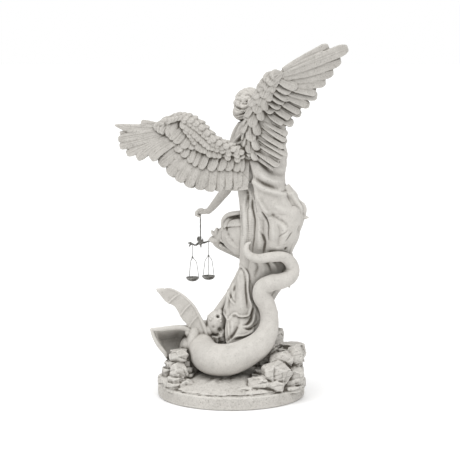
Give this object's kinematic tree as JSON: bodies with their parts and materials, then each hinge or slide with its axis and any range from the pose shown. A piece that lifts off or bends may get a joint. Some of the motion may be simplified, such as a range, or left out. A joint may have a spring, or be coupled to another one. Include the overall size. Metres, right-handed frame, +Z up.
{
  "type": "archangel statue",
  "caption": "Winged armoured archangel in cast stone, holding up a small wire balance and standing over a bat-winged serpent demon on rocks and a round plinth.",
  "frame": {"origin": "centre of the round plinth's flat underside", "axes": "+Z up through the figure, -Y is the statue's front, +X is the figure's own left, on which the lower wing spreads and the hand holds the balance"},
  "size_m": [0.4569, 0.296, 0.7036],
  "materials": {
    "cast_stone": "matt pale warm grey cast stone with a grey brown wash in the hollows",
    "grey_metal": "dull dark grey, softly tarnished"
  },
  "bodies": {
    "root": {"statue": "cast_stone", "balance_rod": "grey_metal", "balance_beam": "grey_metal", "left_hanger": "grey_metal", "right_hanger": "grey_metal", "left_pan": "grey_metal", "right_pan": "grey_metal"}
  },
  "joints": []
}
